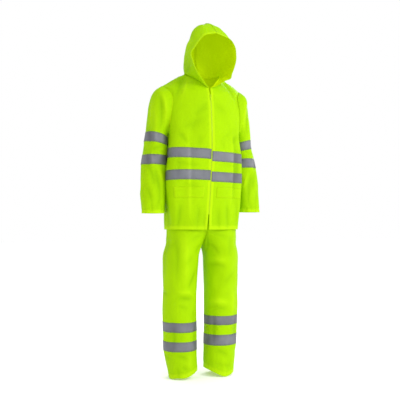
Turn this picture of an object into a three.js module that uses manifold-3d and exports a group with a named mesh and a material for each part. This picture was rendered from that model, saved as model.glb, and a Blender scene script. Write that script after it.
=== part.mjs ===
// A hooded rain jacket and trousers with reflective tapes, as worn, with nobody in them.
// Millimetres, +Z up. The wearer faces -Y and the wearer's left is +X.
// The origin is at the base of the neck, midway between the shoulders.
import * as THREE from 'three';
import Module from 'manifold-3d';
import { mergeVertices } from 'three/addons/utils/BufferGeometryUtils.js';

// Driving dimensions
const clothThickness = 1.6;
const tapeWidth = 50;
const tapeThickness = 1.0;
const seamGap = 0.3;
const skinLift = clothThickness / 2;
const tapeLift = skinLift + seamGap;
const rootLift = clothThickness + seamGap;
const neckLift = rootLift + 0.4;
const hemHeight = -777;
const armpitHeight = -290;
const shoulderPlace = -50;
const armholeReach = 0.097;
const armholeSteps = 8;

// Materials
const limeCloth = new THREE.MeshStandardMaterial({ color: 0xb8ee00, roughness: 0.55 });
const greyTape = new THREE.MeshStandardMaterial({ color: 0x8c8f96, roughness: 0.4, metalness: 0.1 });
const limePlastic = new THREE.MeshStandardMaterial({ color: 0xaee000, roughness: 0.4 });
limeCloth.side = THREE.DoubleSide;

const suit = new THREE.Group();

function addPiece(name, geometry, material, parent = suit) {
  const piece = new THREE.Mesh(geometry, material);
  piece.name = name;
  parent.add(piece);
  return piece;
}

// Tables: a row of numbers under named columns, joined by a smooth curve through its rows
function table(columns, rows) {
  const names = columns.split(' ');
  return rows.map((row) => Object.fromEntries(names.map((name, i) => [name, row[i]])));
}

function curveBetween(a, b, c, d, name, at) {
  const span = c.at - b.at;
  const s = (at - b.at) / span;
  const leave = (c[name] - a[name]) / (c.at - a.at) * span;
  const arrive = (d[name] - b[name]) / (d.at - b.at) * span;
  const rise = c[name] - b[name];
  return b[name] + s * (leave + s * (3 * rise - 2 * leave - arrive + s * (leave + arrive - 2 * rise)));
}

function rowAt(rows, at) {
  const last = rows.length - 1;
  let i = 0;
  while (i < last - 1 && rows[i + 1].at <= at) i += 1;
  const near = [rows[Math.max(i - 1, 0)], rows[i], rows[i + 1], rows[Math.min(i + 2, last)]];
  return Object.fromEntries(Object.keys(rows[0]).map((name) => [name, curveBetween(...near, name, at)]));
}

const point = (x, y, z) => new THREE.Vector3(x, y, z);
const mix = (a, b, share) => a + (b - a) * share;
const fade = (from, to, at) => THREE.MathUtils.smoothstep((at - from) / (to - from), 0, 1);

// Folds: a soft trough (or a ridge, with a negative depth) along a line on the cloth
const foldColumns = 'x1 y1 z1 x2 y2 z2 width depth';
const foldLine = new THREE.Line3();
const foldFoot = point(0, 0, 0);

function foldRelief(folds, place) {
  return folds.reduce((relief, fold) => {
    foldLine.start.set(fold.x1, fold.y1, fold.z1);
    foldLine.end.set(fold.x2, fold.y2, fold.z2);
    const distance = foldLine.closestPointToPoint(place, true, foldFoot).distanceTo(place);
    return relief - fold.depth * Math.exp(-((distance / fold.width) ** 2));
  }, 0);
}

// A surface gives a point at (u, v). Its normal comes from its own slopes.
function outward(surface, u, v, steps) {
  const [du, dv] = steps;
  const across = surface(u + du, v).sub(surface(u - du, v));
  const along = surface(u, v + dv).sub(surface(u, v - dv));
  return across.cross(along).normalize();
}

function folded(surface, steps, folds) {
  return (u, v) => {
    const place = surface(u, v);
    return place.addScaledVector(outward(surface, u, v, steps), foldRelief(folds, place));
  };
}

// A grid holds the points and outward normals of a panel, row by row
function gridOf(surface, steps, placeRows) {
  const points = placeRows.map((row) => row.map(([u, v]) => surface(u, v)));
  const normals = placeRows.map((row) => row.map(([u, v]) => outward(surface, u, v, steps)));
  return { points, normals };
}

function mirrorGrid(grid) {
  const flip = (rows) => rows.map((row) => row.map((vector) => point(-vector.x, vector.y, vector.z)));
  return { points: flip(grid.points), normals: flip(grid.normals) };
}

// Two rows of points that run over several panels, for a strip that is sewn across their seams
const stripGrid = (around, row) => ({
  points: [around('points', row), around('points', row + 1)],
  normals: [around('normals', row), around('normals', row + 1)],
});

// Cloth: a closed wall between two lifts over part of a grid, drawn in from its edges by half a seam gap
const plainCloth = { inner: -skinLift, outer: skinLift, closed: false, edge: seamGap / 2 };

function cloth(grid, settings) {
  const { inner, outer, rows, columns, closed, edge } = { ...plainCloth, ...settings };
  const [rowFrom, rowTo] = rows ?? [0, grid.points.length - 1];
  const [columnFrom, columnTo] = columns ?? [0, grid.points[0].length - 1];
  const rowCount = rowTo - rowFrom + 1;
  const columnCount = columnTo - columnFrom + 1;
  const at = (i, j) => grid.points[rowFrom + i][columnFrom + j];
  const towards = (from, to) => to.clone().sub(from).setLength(edge);
  const positions = [];
  for (const lift of [outer, inner]) {
    for (let i = 0; i < rowCount; i += 1) {
      for (let j = 0; j < columnCount; j += 1) {
        const place = at(i, j).clone();
        if (i === 0) place.add(towards(at(0, j), at(1, j)));
        if (i === rowCount - 1) place.add(towards(at(i, j), at(i - 1, j)));
        if (!closed && j === 0) place.add(towards(at(i, 0), at(i, 1)));
        if (!closed && j === columnCount - 1) place.add(towards(at(i, j), at(i, j - 1)));
        place.addScaledVector(grid.normals[rowFrom + i][columnFrom + j], lift);
        positions.push(place.x, place.y, place.z);
      }
    }
  }
  const layer = rowCount * columnCount;
  const index = (side, i, j) => side * layer + i * columnCount + (closed ? j % columnCount : j);
  const faces = [];
  const quad = (a, b, c, d) => faces.push(a, b, c, a, c, d);
  const columnSpans = closed ? columnCount : columnCount - 1;
  for (let j = 0; j < columnSpans; j += 1) {
    const next = (j + 1) % columnCount;
    for (let i = 0; i < rowCount - 1; i += 1) {
      const [a, b, c, d] = [[i, j], [i, next], [i + 1, next], [i + 1, j]];
      // Each cell is split along its shorter diagonal, so strips and panels split alike
      const short = at(...a).distanceTo(at(...c)) <= at(...b).distanceTo(at(...d));
      const [p, q, r, t] = short ? [a, b, c, d] : [b, c, d, a];
      quad(index(0, ...p), index(0, ...q), index(0, ...r), index(0, ...t));
      quad(index(1, ...r), index(1, ...q), index(1, ...p), index(1, ...t));
    }
    const top = rowCount - 1;
    quad(index(0, 0, j), index(1, 0, j), index(1, 0, j + 1), index(0, 0, j + 1));
    quad(index(0, top, j), index(0, top, j + 1), index(1, top, j + 1), index(1, top, j));
  }
  if (!closed) {
    const last = columnCount - 1;
    for (let i = 0; i < rowCount - 1; i += 1) {
      quad(index(0, i, 0), index(0, i + 1, 0), index(1, i + 1, 0), index(1, i, 0));
      quad(index(0, i, last), index(1, i, last), index(1, i + 1, last), index(0, i + 1, last));
    }
  }
  return solidOf(positions, faces);
}

// A closed solid from its points and triangles, turned so that its faces point out
function solidOf(positions, faces) {
  const corner = (k) => point(...positions.slice(3 * k, 3 * k + 3));
  let volume = 0;
  for (let k = 0; k < faces.length; k += 3) {
    volume += corner(faces[k]).dot(corner(faces[k + 1]).cross(corner(faces[k + 2])));
  }
  if (volume < 0) faces.reverse();
  const geometry = new THREE.BufferGeometry();
  geometry.setAttribute('position', new THREE.Float32BufferAttribute(positions, 3));
  geometry.setIndex(faces);
  geometry.computeVertexNormals();
  return geometry;
}

// A solid swept through closed sections. Each section starts at a corner that sees all the others.
function sweep(sections) {
  const size = sections[0].length;
  const positions = sections.flat().flatMap((place) => [place.x, place.y, place.z]);
  const faces = [];
  for (let i = 0; i < sections.length - 1; i += 1) {
    for (let k = 0; k < size; k += 1) {
      const next = (k + 1) % size;
      const [a, b, c, d] = [i * size + k, i * size + next, (i + 1) * size + next, (i + 1) * size + k];
      faces.push(a, b, c, a, c, d);
    }
  }
  const end = (sections.length - 1) * size;
  for (let k = 1; k < size - 1; k += 1) {
    faces.push(0, k + 1, k, end, end + k, end + k + 1);
  }
  return solidOf(positions, faces);
}

// The places along a curve at given distances from its start
function placesAlong(curve, from, to, distancesOf) {
  const steps = 80;
  const lengths = [0];
  for (let k = 1; k <= steps; k += 1) {
    const a = curve(mix(from, to, (k - 1) / steps));
    lengths.push(lengths[k - 1] + a.distanceTo(curve(mix(from, to, k / steps))));
  }
  return distancesOf(lengths[steps]).map((distance) => {
    let k = 1;
    while (k < steps && lengths[k] < distance) k += 1;
    const share = (distance - lengths[k - 1]) / (lengths[k] - lengths[k - 1]);
    return mix(from, to, (k - 1 + share) / steps);
  });
}

const evenly = (count) => Array.from({ length: count + 1 }, (_, k) => k / count);

// Jacket body. Each row is half a level section: front, front corner, side, back corner, back.
// A row's place is its height up to the chest, and then runs on to 0 at the neckline.
const bodyLevels = table('at front cornerX cornerY sideX sideY hindX hindY back drift', [
  [-777, 118, 157, -82, 190, 18, 152, 92, 120, -9],
  [-700, 122, 165, -88, 191, 15, 156, 92, 118, -6],
  [-610, 130, 176, -92, 191, 15, 155, 90, 114, -2],
  [-510, 138, 184, -92, 187, 20, 152, 92, 112, 0],
  [-400, 148, 182, -95, 174, 30, 146, 98, 116, 0],
  [-335, 150, 174, -95, 173, 28, 144, 98, 120, 0],
  [-290, 150, 168, -94, 176, 20, 144, 97, 121, 0],
  [-170, 142, 163, -92, 200, 5, 150, 85, 112, 0],
  [-100, 127, 140, -85, 207, 5, 140, 72, 98, 0],
]);
const cornerColumns = 'cornerX cornerY cornerZ sideX sideY sideZ hindX hindY hindZ';
const bodyColumns = `at frontY frontZ ${cornerColumns} backY backZ drift`;
const yokeRows = table(bodyColumns, [
  [-50, -121, -85, 105, -90, -70, 209, 5, -48, 120, 60, -36, 82, -30, 0],
  [-25, -118, -76, 75, -82, -42, 150, 0, -11, 85, 55, 0, 70, 0, 0],
  [0, -116, -67, 52, -78, -20, 92, -8, 20, 55, 48, 24, 62, 26, 0],
]);
const levelRow = ({ at, front, back, ...corners }) => ({
  ...corners, at, frontY: -front, frontZ: at, cornerZ: at, sideZ: at, hindZ: at, backY: back, backZ: at,
});
const bodyRows = [...bodyLevels.map(levelRow), ...yokeRows];
const bodyFolds = table(foldColumns, [
  [95, -40, -5, 165, -95, -122, 16, 4],
  [-95, -40, -5, -165, -95, -122, 16, 4],
  [100, -138, -250, 112, -122, -360, 26, 4],
  [-100, -138, -250, -112, -122, -360, 26, 4],
  [60, -130, -560, 75, -118, -777, 30, -5],
  [-60, -130, -560, -75, -118, -777, 30, -5],
  [135, -105, -560, 138, -96, -777, 26, 5],
  [-135, -105, -560, -138, -96, -777, 26, 5],
  [60, 112, -150, 95, 108, -420, 26, 5],
  [-60, 112, -150, -95, 108, -420, 26, 5],
  [70, 112, -540, 75, 115, -777, 28, 5],
  [-70, 112, -540, -75, 115, -777, 28, 5],
  [0, 118, -300, 0, 120, -777, 36, -4],
]);
const bodySteps = [0.002, 0.5];

function bodySection(place) {
  const row = rowAt(bodyRows, place);
  const half = [
    point(row.cornerX, row.cornerY, row.cornerZ),
    point(row.sideX, row.sideY, row.sideZ),
    point(row.hindX, row.hindY, row.hindZ),
  ];
  const otherHalf = half.map((place) => point(-place.x, place.y, place.z)).reverse();
  const front = point(row.drift, row.frontY, row.frontZ);
  const back = point(0, row.backY, row.backZ);
  return new THREE.CatmullRomCurve3([front, ...half, back, ...otherHalf], true, 'catmullrom', 0.5);
}

const plainBody = (turn, place) => bodySection(place).getPoint(((turn % 1) + 1) % 1);
const body = folded(plainBody, bodySteps, bodyFolds);

// The armhole is a loop cut in the side, from the armpit up the front edge and down the back one
const armholePlace = (step) => mix(armpitHeight, shoulderPlace, (1 - Math.cos(Math.PI * step)) / 2);
const armholeHalf = (step) => armholeReach * Math.sin(Math.PI * step);

// Heights of the tapes' middles at the zip, half way, and the side seam
const bodyTapes = {
  upper: { right: [-402, -395, -391], left: [-411, -413, -415] },
  lower: { right: [-506, -503, -507], left: [-512, -514, -515] },
};

function tapeHeight(row, side, share) {
  if (side !== 'back') {
    const [zip, middle, seam] = bodyTapes[row][side];
    return share < 0.5 ? mix(zip, middle, 2 * share) : mix(middle, seam, 2 * share - 1);
  }
  return mix(bodyTapes[row].left[2], bodyTapes[row].right[2], share);
}

// Rows of a body panel from hem to neckline. Each gives its place at a share of the panel's width.
const level = (height) => () => height;
const hemFold = -762;
const zipFoot = -706;
const hipHeight = -660;
const flapBottom = -617;
const flapTop = -565;
const betweenTapes = -459;
const chestHeight = -335;
const yokeHeights = [-33, -17, 0];

function bodyPanelRows(side) {
  const halfTape = tapeWidth / 2;
  const tapeEdge = (name, edge) => (share) => tapeHeight(name, side, share) + edge;
  const tapeRows = (name) => [tapeEdge(name, -halfTape), tapeEdge(name, halfTape)];
  const armholeRows = evenly(armholeSteps).map((step) => level(armholePlace(step)));
  const lower = [hemHeight, hemFold, zipFoot, hipHeight, flapBottom, flapTop].map(level);
  return [
    ...lower, ...tapeRows('lower'), level(betweenTapes), ...tapeRows('upper'), level(chestHeight),
    ...armholeRows, ...yokeHeights.map(level),
  ];
}
const rowOfZipFoot = 2;
const rowOfFlap = 4;
const rowOfLowerTape = 6;
const rowOfUpperTape = 9;
const rowOfArmpit = 12;
const armholeStepOf = (row) => Math.min(Math.max(row - rowOfArmpit, 0), armholeSteps) / armholeSteps;

// Distance from the centre line to a front's edge: it parts a little at the neck and at the hem
const zipTop = -112;
const frontEdge = (place) => 2.5 + 2.5 * fade(zipFoot, hemHeight, place) + 1.5 * fade(zipTop, -60, place);
const stitchColumn = 14;
const flapColumn = 34;
const frontSpans = 7;

function frontGrid(side) {
  const turned = side === 'left' ? 1 : -1;
  const rows = bodyPanelRows(side);
  const placeRows = rows.map((placeAt, row) => {
    const seam = 0.25 - armholeHalf(armholeStepOf(row));
    const middle = placeAt(0.5);
    const section = bodySection(middle);
    const curve = (turn) => section.getPoint((turned * turn + 1) % 1);
    const turns = placesAlong(curve, 0, seam, (length) => [
      frontEdge(middle), stitchColumn,
      ...evenly(frontSpans).map((share) => mix(flapColumn, length, share)),
    ]);
    turns[turns.length - 1] = seam;
    return turns.map((turn, column) => [turned * turn, placeAt(column / (turns.length - 1))]);
  });
  return gridOf(body, bodySteps, placeRows);
}

function backGrid() {
  const spans = 14;
  const placeRows = bodyPanelRows('back').map((placeAt, row) => {
    const reach = armholeHalf(armholeStepOf(row));
    const section = bodySection(placeAt(0.5));
    const turns = placesAlong((turn) => section.getPoint(turn), 0.25 + reach, 0.75 - reach,
      (length) => evenly(spans).map((share) => share * length));
    turns[0] = 0.25 + reach;
    turns[spans] = 0.75 - reach;
    return turns.map((turn, column) => [turn, placeAt(column / spans)]);
  });
  return gridOf(body, bodySteps, placeRows);
}

const fronts = { right: frontGrid('right'), left: frontGrid('left') };
const back = backGrid();
const tapeBetween = { inner: tapeLift, outer: tapeLift + tapeThickness };

for (const side of ['right', 'left']) {
  addPiece(`jacket_front_${side}`, cloth(fronts[side], {}), limeCloth);
  addPiece(`pocket_flap_${side}`,
    cloth(fronts[side], { ...tapeBetween, rows: [rowOfFlap, rowOfFlap + 1], columns: [2, 6] }), limeCloth);
}
addPiece('jacket_back', cloth(back, {}), limeCloth);

// Each body tape is one strip, from the zip round the back to the zip again
const aroundBody = (key, row) => [
  ...fronts.left[key][row], ...back[key][row].slice(1, -1), ...[...fronts.right[key][row]].reverse(),
];
for (const [name, row] of [['upper', rowOfUpperTape], ['lower', rowOfLowerTape]]) {
  addPiece(`tape_body_${name}`, cloth(stripGrid(aroundBody, row), tapeBetween), greyTape);
}

// Sleeves. Each row is a ring: its outer and inner points, and its middle and half depth front to back.
const sleeveRows = table('at outRight outLeft outZ inX inZ middleY halfDepth', [
  [1, 236, 232, -62, 185.5, -292.5, 6, 80],
  [2, 258, 248, -88, 186, -295, 13, 82],
  [3, 272, 256, -128, 186, -298, 20, 82],
  [4, 278, 265, -180, 185, -301, 26, 80],
  [5, 282, 275, -235, 185, -304, 30, 78],
  [6, 286, 284, -280, 185, -308, 33, 77],
  [7, 294, 290, -330, 184, -354, 34, 76],
  [8, 300, 298, -368, 185, -382, 32, 74],
  [9, 305, 304, -398, 187, -403, 30, 73],
  [10, 313, 314, -448, 191, -452, 26, 69],
  [11, 319, 322, -510, 197, -511, 19, 64],
  [12, 321, 324, -575, 201, -575, 11, 60],
  [13, 320, 323, -635, 204, -635, 2, 58],
  [14, 319, 323, -680, 206, -680, -3, 55.5],
  [15, 319, 323, -692, 206, -692, -4, 55],
]);
const sleeveFolds = table(foldColumns, [
  [240, -75, -140, 200, -60, -270, 20, 6],
  [292, -20, -465, 250, -52, -515, 18, 5],
  [300, -15, -560, 262, -52, -650, 18, 5],
  [205, -20, -430, 255, -48, -470, 16, 5],
  [215, -20, -560, 250, -48, -600, 18, -4],
  [220, 85, -180, 200, 60, -280, 20, 6],
  [205, 60, -430, 260, 90, -470, 18, 6],
  [300, 60, -520, 255, 72, -620, 18, 5],
]);
const sleeveSteps = [0.01, -0.02];
const sleeveShift = {
  right: { outer: 'outRight', upperTape: 0, cuff: -3 },
  left: { outer: 'outLeft', upperTape: -18, cuff: 6 },
};
const armholeLoop = (angle) => {
  const step = 1 - Math.abs(1 - angle / Math.PI);
  const turn = 0.25 - Math.sign(Math.PI - angle) * armholeHalf(step);
  const place = armholePlace(step);
  return body(turn, place).addScaledVector(outward(body, turn, place, bodySteps), rootLift);
};

function sleeveRing(angle, row, shift) {
  const upperTape = shift.upperTape * Math.exp(-(((row.at - 6.5) / 1.6) ** 2));
  const cuff = shift.cuff * fade(11, 14, row.at);
  const out = point(row[shift.outer], row.middleY, row.outZ + upperTape + cuff);
  const inside = point(row.inX, row.middleY, row.inZ + upperTape + cuff);
  const middle = out.clone().add(inside).multiplyScalar(0.5);
  return middle.addScaledVector(inside.sub(middle), Math.cos(angle))
    .add(point(0, -row.halfDepth * Math.sin(angle), 0));
}

function sleeveSurface(side) {
  const shift = sleeveShift[side];
  return (turn, place) => {
    const angle = 2 * Math.PI * (((turn % 1) + 1) % 1);
    const root = armholeLoop(angle);
    if (place <= 0) return root;
    const first = sleeveRing(angle, sleeveRows[0], shift);
    if (place >= 1) return sleeveRing(angle, rowAt(sleeveRows, place), shift);
    return root.lerp(first, place);
  };
}

const sleeveSpans = 2 * armholeSteps;
const rowOfUpperSleeveTape = 6;
const rowOfLowerSleeveTape = 9;

for (const side of ['right', 'left']) {
  const surface = folded(sleeveSurface(side), sleeveSteps, sleeveFolds);
  const placeRows = [0, ...sleeveRows.map((row) => row.at)]
    .map((at) => evenly(sleeveSpans).slice(0, sleeveSpans).map((turn) => [turn, at]));
  const grid = gridOf(surface, sleeveSteps, placeRows);
  const placed = side === 'left' ? grid : mirrorGrid(grid);
  addPiece(`sleeve_${side}`, cloth(placed, { closed: true }), limeCloth);
  for (const [name, row] of [['upper', rowOfUpperSleeveTape], ['lower', rowOfLowerSleeveTape]]) {
    addPiece(`tape_sleeve_${name}_${side}`,
      cloth(placed, { ...tapeBetween, rows: [row, row + 1], closed: true }), greyTape);
  }
}

// Hood. Each row runs over half of it: the rim of the opening, the side, the back corner, the seam.
const hoodColumns = 'at rimRight rimLeft rimY rimZ sideX sideY sideZ hindX hindY hindZ seamY seamZ';
const hoodRows = table(hoodColumns, [
  [1, 68, 90, -136, -12, 108, -40, 40, 76, 46, 50, 68, 60],
  [2, 116, 105, -140, 30, 118, -45, 85, 75, 42, 105, 72, 110],
  [3, 139, 122, -140, 80, 117, -50, 130, 67, 36, 155, 70, 162],
  [4, 114, 121, -142, 122, 104, -55, 175, 56, 26, 200, 58, 212],
  [5, 93, 108, -147, 156, 86, -60, 224, 46, 5, 238, 36, 250],
  [6, 62, 76, -151, 184, 50, -85, 255, 32, -20, 266, 5, 275],
  [7, 0, 0, -153, 200, 0, -105, 250, 0, -72, 276, -44, 286],
]);
const hoodYaw = THREE.MathUtils.degToRad(10);
const hoodSteps = [0.01, 0.02];
const hoodKnots = [0, 0.5, 0.75, 1];
const hoodFolds = table(foldColumns, [
  [110, -60, 30, 60, 50, 60, 16, 4],
  [-110, -60, 30, -60, 50, 60, 16, 4],
]);

const neckline = (turn) => {
  const edge = body(turn, 0);
  return edge.addScaledVector(outward(body, turn, 0, bodySteps), neckLift);
};

function hoodSurface(side) {
  const turned = side === 'left' ? 1 : -1;
  return (share, place) => {
    const root = neckline(turned * share / 2);
    const row = rowAt(hoodRows, Math.max(place, 0.5));
    const rimX = side === 'left' ? row.rimLeft : row.rimRight;
    const across = [
      { at: hoodKnots[0], x: rimX, y: row.rimY, z: row.rimZ },
      { at: hoodKnots[1], x: row.sideX, y: row.sideY, z: row.sideZ },
      { at: hoodKnots[2], x: row.hindX, y: row.hindY, z: row.hindZ },
      { at: hoodKnots[3], x: 0, y: row.seamY, z: row.seamZ },
    ];
    const spot = rowAt(across, share);
    const shell = point(turned * spot.x, spot.y, spot.z)
      .applyAxisAngle(point(0, 0, 1), hoodYaw * fade(0, 2.5, place));
    return place >= 1 ? shell : root.lerp(shell, Math.max(place, 0));
  };
}

for (const side of ['right', 'left']) {
  const steps = side === 'left' ? hoodSteps : [-hoodSteps[0], hoodSteps[1]];
  const surface = folded(hoodSurface(side), steps, hoodFolds);
  const edgeShare = 0.02;
  const shares = evenly(10);
  const rows = evenly(2 * hoodRows.length).map((share) => share * hoodRows.length);
  const firstShare = (at) => (at === 0 ? edgeShare : 0);
  const placeRows = rows.map((at) => shares.map((share) => [Math.max(share, firstShare(at)), at]));
  const grid = gridOf(surface, steps, placeRows);
  // Along the centre seam both halves share the seam's plane, and stand half a gap clear of it
  const turned = side === 'left' ? 1 : -1;
  const fitSeam = (row, column) => {
    const yaw = hoodYaw * fade(0, 2.5, rows[row]);
    const across = point(Math.cos(yaw), Math.sin(yaw), 0);
    const normal = grid.normals[row][column];
    normal.addScaledVector(across, -normal.dot(across)).normalize();
    grid.points[row][column].addScaledVector(across, turned * seamGap / 2);
  };
  const lastRow = rows.length - 1;
  const lastColumn = shares.length - 1;
  rows.forEach((_, row) => fitSeam(row, lastColumn));
  shares.slice(0, -1).forEach((_, column) => fitSeam(lastRow, column));
  addPiece(`hood_${side}`, cloth(grid, { edge: 0.05 }), limeCloth);
}

// Trousers. Each row is half a section: an ellipse about the leg's middle, cut at the centre above the
// crotch.
const legRows = table('at middleX middleY halfWidth halfDepth', [
  [-1530, 105, 20, 82, 76],
  [-1455, 107, 20, 84, 77],
  [-1371, 110, 20, 86, 79],
  [-1273, 112, 20, 87, 83],
  [-1200, 113, 20, 88, 86],
  [-1080, 112, 18, 87, 95],
  [-960, 110, 15, 89, 105],
  [-900, 107, 13, 90, 109],
  [-852, 92, 9, 92, 109],
  [-830, 87, 6, 97, 107],
  [-800, 74, 3, 110, 104],
  [-760, 50, 2, 137, 102],
  [-700, 20, 2, 168, 102],
  [-620, 0, 5, 184, 103],
  [-540, 0, 5, 176, 99],
  [-470, 0, 6, 165, 96],
]);
const legFolds = table(foldColumns, [
  [45, -55, -985, 75, -75, -1066, 18, 5],
  [160, -50, -1110, 75, -78, -1135, 18, 6],
  [150, -60, -1080, 80, -80, -1098, 18, -4],
  [60, -90, -925, 125, -95, -935, 22, -4],
  [170, -20, -1425, 90, -58, -1445, 16, 4],
  [6, -100, -815, 12, -90, -890, 16, 6],
  [30, -95, -865, 95, -95, -915, 24, 4],
  [150, 85, -1050, 75, 105, -1075, 20, 6],
  [150, 95, -1100, 70, 100, -1125, 20, -4],
  [20, 100, -860, 100, 118, -900, 22, 6],
  [150, 70, -1420, 80, 90, -1440, 16, 4],
]);
const legSteps = [0.003, 0.5];
const crotchHeight = -852;
const waistHeight = -470;
const bandHeight = -508;
const legShift = {
  right: { tapes: 0, hem: 0, hemInner: 30, hemOuter: 5, taper: 20 },
  left: { tapes: 27, hem: -14, hemInner: 40, hemOuter: 20, taper: 4 },
};
const legHem = -1530;
const hemReach = 130;

// The ellipse runs from the cut at the centre front, round the outside, to the cut at the centre back
function legSurface(side) {
  const shift = legShift[side];
  return (turn, height) => {
    const row = rowAt(legRows, height);
    const cut = Math.acos(Math.min(row.middleX / row.halfWidth, 1));
    const angle = mix(cut, 2 * Math.PI - cut, turn);
    const inner = Math.max(Math.cos(angle), 0);
    const outer = Math.max(-Math.cos(angle), 0);
    const nearHem = fade(legHem + hemReach, legHem, height);
    const centreClear = (skinLift + 0.2) * Math.cos(cut);
    return point(
      row.middleX + centreClear - row.halfWidth * Math.cos(angle) - shift.taper * outer * nearHem,
      row.middleY - row.halfDepth * Math.sin(angle),
      height + nearHem * (shift.hem + shift.hemInner * inner + shift.hemOuter * outer),
    );
  };
}

const tapeMiddles = { upper: -1273, lower: -1371 };
const tapeEdges = (name) => [-tapeWidth / 2, tapeWidth / 2].map((edge) => tapeMiddles[name] + edge);
const legHeights = [
  legHem, -1512, -1455, ...tapeEdges('lower'), ...tapeEdges('upper'), -1195, -1145, -1105, -1065, -1020,
  -965, -915, -880, crotchHeight, -828, -795, -750, -690, -610, bandHeight, waistHeight,
];
const rowOfLowerLegTape = 3;
const rowOfUpperLegTape = 5;
const rowOfBand = legHeights.indexOf(bandHeight);
const legSpans = 9;
const legGrids = {};

for (const side of ['right', 'left']) {
  const surface = folded(legSurface(side), legSteps, legFolds);
  const raised = (height) => height + legShift[side].tapes * Math.exp(-(((height + 1300) / 160) ** 2));
  for (const [panel, from] of [['front', 0], ['back', 0.5]]) {
    const turns = evenly(legSpans).map((share) => from + share / 2);
    const placeRows = legHeights.map((height) => turns.map((turn) => [turn, raised(height)]));
    const grid = gridOf(surface, legSteps, placeRows);
    const placed = side === 'left' ? grid : mirrorGrid(grid);
    legGrids[`${panel}_${side}`] = placed;
    addPiece(`trouser_${panel}_${side}`, cloth(placed, { rows: [0, rowOfBand] }), limeCloth);
  }
  // Each leg tape is one strip, cut at the inside seam
  const [legFront, legBack] = [legGrids[`front_${side}`], legGrids[`back_${side}`]];
  const aroundLeg = (key, row) => [...legFront[key][row], ...legBack[key][row].slice(1)];
  for (const [name, row] of [['upper', rowOfUpperLegTape], ['lower', rowOfLowerLegTape]]) {
    addPiece(`tape_leg_${name}_${side}`, cloth(stripGrid(aroundLeg, row), tapeBetween), greyTape);
  }
}

// The waistband is one ring on top of the four trouser panels
const aroundWaist = (key, row) => [
  ...legGrids.front_left[key][row], ...legGrids.back_left[key][row].slice(1),
  ...legGrids.back_right[key][row].slice(0, -1).reverse(),
  ...legGrids.front_right[key][row].slice(1, -1).reverse(),
];
addPiece('trouser_waistband', cloth(stripGrid(aroundWaist, rowOfBand), { closed: true }), limeCloth);

// Front zip: on each front a woven tape behind the cloth and, between the fronts, half of the teeth
const chain = { tapeShare: 0.85, behind: -2.1, front: 0.9, halfGap: 0.15, clearance: 0.3 };
const rowOfZipTop = 17.31;

function zipSection(grid, row) {
  const low = Math.floor(row);
  const share = row - low;
  const blend = (key, column) => {
    const from = grid[key][low][column];
    return share > 0 ? from.clone().lerp(grid[key][low + 1][column], share) : from.clone();
  };
  const [edge, next] = [blend('points', 0), blend('points', 1)];
  const normal = blend('normals', 0).normalize();
  const inwards = edge.clone().sub(next).normalize();
  const spread = edge.distanceTo(next);
  const reach = Math.abs(edge.x - bodyCentre(edge.z)) - chain.halfGap;
  const lifted = (lift) => edge.clone().addScaledVector(normal, lift);
  const spot = (distance, lift) => lifted(lift).addScaledVector(inwards, distance);
  const gapSide = chain.clearance - seamGap / 2;
  return [
    spot(gapSide, -skinLift - seamGap),
    spot(gapSide, chain.front),
    spot(reach, chain.front),
    spot(reach, chain.behind),
    spot(-spread * chain.tapeShare, chain.behind),
    spot(-spread * chain.tapeShare, -skinLift - seamGap),
  ];
}
const bodyCentre = (height) => rowAt(bodyLevels, Math.min(Math.max(height, hemHeight), -100)).drift;

for (const side of ['right', 'left']) {
  const rows = [];
  for (let row = rowOfZipFoot; row < rowOfZipTop; row += 1) rows.push(row);
  rows.push(rowOfZipTop);
  addPiece(`zip_half_${side}`, sweep(rows.map((row) => zipSection(fronts[side], row))), limePlastic);
}

// Slider and pull tab, in a frame at the top of the teeth: x across, y out of the chest, z up the zip
const wasm = await Module();
wasm.setup();

function toManifold(geometry) {
  const bare = geometry.clone();
  bare.deleteAttribute('normal');
  bare.deleteAttribute('uv');
  const merged = mergeVertices(bare, 1e-4);
  return new wasm.Manifold(new wasm.Mesh({
    numProp: 3,
    vertProperties: new Float32Array(merged.attributes.position.array),
    triVerts: new Uint32Array(merged.index.array),
  }));
}

function fromManifold(solid) {
  const mesh = solid.getMesh();
  const geometry = new THREE.BufferGeometry();
  geometry.setAttribute('position', new THREE.BufferAttribute(new Float32Array(mesh.vertProperties), 3));
  geometry.setIndex(new THREE.BufferAttribute(new Uint32Array(mesh.triVerts), 1));
  return geometry;
}

const slider = {
  width: 9, height: 13, plate: 1.4, frontFace: 2.7, backFace: -2.8, postWidth: 3, postHeight: 4,
  archWidth: 2.6, archLow: -3.2, archHigh: 3.4, archOut: 6.2, bar: 1.2,
};
const tab = { width: 6.4, length: 24, thickness: 1, axis: 3.8, hole: 4, holeLength: 4.5 };

const box = (width, depth, height, y, z) =>
  new THREE.BoxGeometry(width, depth, height).translate(0, y + depth / 2, z + height / 2);

function sliderGeometry() {
  const { width, height, plate, frontFace, backFace, postWidth, postHeight } = slider;
  const { archWidth, archLow, archHigh, archOut, bar } = slider;
  const bodies = [
    box(width, plate, height, frontFace - plate, -height / 2),
    box(width, plate, height, backFace - plate, -height / 2),
    box(postWidth, frontFace - backFace + 0.4, postHeight, backFace - 0.2, height / 2 - postHeight),
    box(archWidth, archOut - frontFace + 0.2, bar, frontFace - 0.2, archLow),
    box(archWidth, archOut - frontFace + 0.2, bar, frontFace - 0.2, archHigh - bar),
    box(archWidth, bar, archHigh - archLow, archOut - bar, archLow),
  ].map(toManifold);
  return fromManifold(bodies.reduce((joined, next) => joined.add(next)));
}

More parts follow.
